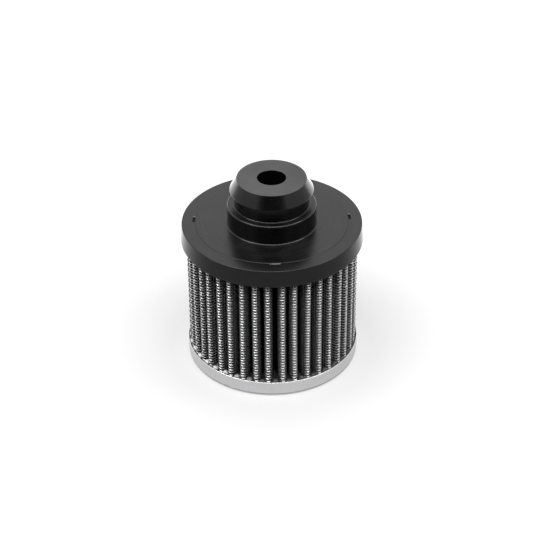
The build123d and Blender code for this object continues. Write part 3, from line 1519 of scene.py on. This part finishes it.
@dataclass(frozen=True)
class Studio:
    """A white room with five soft boxes, a dark panel behind the camera, and the camera."""

    lens: float = 110.8
    sensor: float = 36.0
    camera_place: tuple = (-2.44, -583.8, 436.4)
    down: float = 34.07
    roll: float = -0.55
    clip: tuple = (10.0, 20000.0)
    fill: float = 0.25
    top_box: tuple = ((-120.0, 60.0, 1130.0), (800.0, 800.0), 1.5)
    front_box: tuple = ((-60.0, -640.0, 1020.0), (1900.0, 340.0), 12.5)
    left_box: tuple = ((-760.0, -140.0, 960.0), (500.0, 400.0), 10.5)
    right_box: tuple = ((760.0, -140.0, 960.0), (500.0, 400.0), 10.0)
    back_box: tuple = ((-60.0, 760.0, 840.0), (1400.0, 1000.0), 0.5)
    floor_half: float = 2000.0
    floor_grey: float = 0.85
    seen_grey: float = 0.15
    floor_roughness: float = 0.8
    # Painted shadow: the camera's floor glow dims within these distances of the axis.
    floor_glow: tuple = (0.56, 0.76)
    painted_shadow_reach: tuple = (45.0 * MM, 92.0 * MM)
    # Painted reflection: the floor glows for mirrored rays only, more towards the back.
    painted_reflection_glow: tuple = (0.27, 2.4)
    painted_reflection_reach: tuple = (-40.0 * MM, 160.0 * MM)
    panel_corners: tuple = ((-700, -750, 60), (700, -750, 60), (660, -670, 760), (-660, -670, 760))
    panel_black: tuple = (0.02, 0.02, 0.02, 1.0)
    panel_half: tuple = (220.0 * MM, 650.0 * MM)
    panel_top: tuple = (620.0 * MM, 760.0 * MM)

    def build(self) -> None:
        """Sets the room up."""
        self._world()
        for name in ("top_box", "front_box", "left_box", "right_box", "back_box"):
            self._soft_box(name, *getattr(self, name))
        self._floor()
        self._panel()
        self._camera()
        bpy.context.scene.view_settings.view_transform = "Standard"

    def _world(self) -> None:
        """White for the camera and in reflections, and a softer fill light."""
        world = bpy.data.worlds.new("studio")
        world.use_nodes = True
        bpy.context.scene.world = world
        graph = Graph(world.node_tree)
        rays, seen = self._rays(graph)
        seen = graph.sum("MAXIMUM", seen, rays["Is Transmission Ray"])
        strength = graph.between(seen, (self.fill, 1.0))
        graph.fill(world.node_tree.nodes["Background"], {"Color": WHITE, "Strength": strength})

    @staticmethod
    def _rays(graph: Graph) -> tuple[NodeOutputs, NodeSocket]:
        """The kinds of ray, and 1 for those that the camera sees, straight or mirrored."""
        rays = graph.add("ShaderNodeLightPath").outputs
        return rays, graph.sum("MAXIMUM", rays["Is Camera Ray"], rays["Is Glossy Ray"])

    @staticmethod
    def _soft_box(name: str, place: tuple, size: tuple, radiance: float) -> None:
        """Adds a rectangular lamp that faces the filter.

        Args:
            name: the lamp's name.
            place: its middle, in millimetres.
            size: its width and height, in millimetres.
            radiance: its radiance, with the white world as 1.
        """
        light = bpy.data.lights.new(name, "AREA")
        light.shape = "RECTANGLE"
        light.size, light.size_y = (side * MM for side in size)
        light.energy = radiance * math.pi * light.size * light.size_y
        lamp = new_object(name, light)
        lamp.location = Vector(place) * MM
        lamp.rotation_euler = (-lamp.location).to_track_quat("-Z", "Y").to_euler()
        lamp.visible_camera = False

    @staticmethod
    def _surface(name: str, corners: list | tuple) -> tuple[Object, Graph, Node]:
        """Adds a flat surface of the room.

        Args:
            name: the surface's name, and its material's.
            corners: its four corners in turn, in millimetres.

        Returns:
            The surface, its material's graph and its Principled node.
        """
        mesh = bpy.data.meshes.new(name)
        mesh.from_pydata([Vector(corner) * MM for corner in corners], [], [(0, 1, 2, 3)])
        made = bpy.data.materials.new(name)
        made.use_nodes = True
        mesh.materials.append(made)
        surface = new_object(name, mesh)
        return surface, Graph(made.node_tree), made.node_tree.nodes["Principled BSDF"]

    def _floor(self) -> None:
        """A pale floor that the camera sees as white, but for the filter's shadow and a painted shadow
        where its glow dims round the filter's foot; in reflections it glows brighter towards the back, a
        painted reflection.
        """
        half = self.floor_half
        corners = [(-half, -half, 0.0), (half, -half, 0.0), (half, half, 0.0), (-half, half, 0.0)]
        _, graph, paint = self._surface("floor", corners)
        rays, seen = self._rays(graph)
        spot = graph.spot()
        # Painted reflection: glow seen only in reflections, rising towards the back.
        back = graph.span(graph.split(spot)["Y"], self.painted_reflection_reach)
        glow = graph.between(graph.times(back, back), self.painted_reflection_glow)
        mirrored = graph.times(glow, rays["Is Glossy Ray"])
        # Painted shadow: the glow that the camera sees dims near the filter's foot.
        painted_shadow_glow = graph.span(graph.reach(spot), self.painted_shadow_reach, self.floor_glow)
        values = {
            "Base Color": graph.tint(seen, (self.floor_grey,) * 3, (self.seen_grey,) * 3),
            "Roughness": self.floor_roughness,
            "Emission Color": WHITE,
            "Emission Strength": graph.sum("MULTIPLY_ADD", rays["Is Camera Ray"], painted_shadow_glow, mirrored),
        }
        graph.fill(paint, values)

    def _panel(self) -> None:
        """A dark panel behind the camera, which the front of the rubber reflects."""
        panel, graph, paint = self._surface("dark_panel", self.panel_corners)
        panel.visible_camera = False
        place = graph.split(graph.spot())
        beside = graph.span(graph.sum("ABSOLUTE", place["X"]), self.panel_half)
        fade = graph.sum("MAXIMUM", beside, graph.span(place["Z"], self.panel_top))
        values = {
            "Base Color": self.panel_black,
            "Roughness": 1.0,
            "Emission Color": WHITE,
            "Emission Strength": graph.times(fade, fade),
        }
        graph.fill(paint, values)

    def _camera(self) -> None:
        """The camera, at the place and angle that the photograph was taken from."""
        data = bpy.data.cameras.new("camera")
        data.lens = self.lens
        data.sensor_width = self.sensor
        data.clip_start, data.clip_end = (distance * MM for distance in self.clip)
        camera = new_object("camera", data)
        down, roll = math.radians(self.down), math.radians(self.roll)
        forward = Vector((0.0, math.cos(down), -math.sin(down)))
        across = Vector((1.0, 0.0, 0.0))
        up = across.cross(forward)
        level_x = across * math.cos(roll) + up * math.sin(roll)
        level_y = up * math.cos(roll) - across * math.sin(roll)
        turn = Matrix((level_x, level_y, -forward)).transposed().to_4x4()
        camera.matrix_world = Matrix.Translation(Vector(self.camera_place) * MM) @ turn
        bpy.context.scene.camera = camera


def heights(node: str) -> tuple[float, float]:
    """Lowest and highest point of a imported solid, in millimetres."""
    low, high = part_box(node)
    return low.z / MM, high.z / MM


def main() -> None:
    """Builds the filter's finished pieces and the studio."""
    logging.basicConfig(level=logging.INFO, format="%(message)s")
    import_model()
    effects = Effects()
    plan = PleatPlan()
    pack = heights("outer_screen")
    _, metal_top = heights("metal_end_cap")
    skirt_foot, stem_top = heights("end_cap_moulding")
    _, potting_top = heights("potting_compound")
    sway = Sway(plan, metal_top, skirt_foot)
    screen, gauze = plan.screen_thickness, plan.gauze_thickness
    cap = MetalCap(metal_top)
    behind = screen + gauze
    cloth = FoldedSheet("gauze", "cotton_gauze", plan, sway, screen, gauze, *pack, rows=16)
    lining = FoldedSheet("inner_wire_screen", "inner_screen", plan, sway, behind, screen, *pack, rows=10)

    pieces = [
        Moulding(skirt_foot, stem_top).build(UrethaneFinish(effects).material()),
        cap.build(SteelFinish(effects).material()),
        Potting(plan, cap, potting_top).build(CompoundFinish(effects).material()),
        cloth.build(GauzeFinish(effects).material(), Slot.GAUZE),
    ]
    cloth.flat
    LOG.info("%s: laid flat %.4f by %.4f m", pieces[-1].name, *cloth.flat)
    pieces.append(lining.build(ScreenSheetFinish(effects).material(), Slot.WIRE))
    pieces += WovenScreen(plan, sway, *pack).build(WireFinish(effects).material())
    for piece in pieces:
        LOG.info("%s: %d faces", piece.name, len(piece.data.polygons))

    Studio().build()


if __name__ == "__main__":
    main()
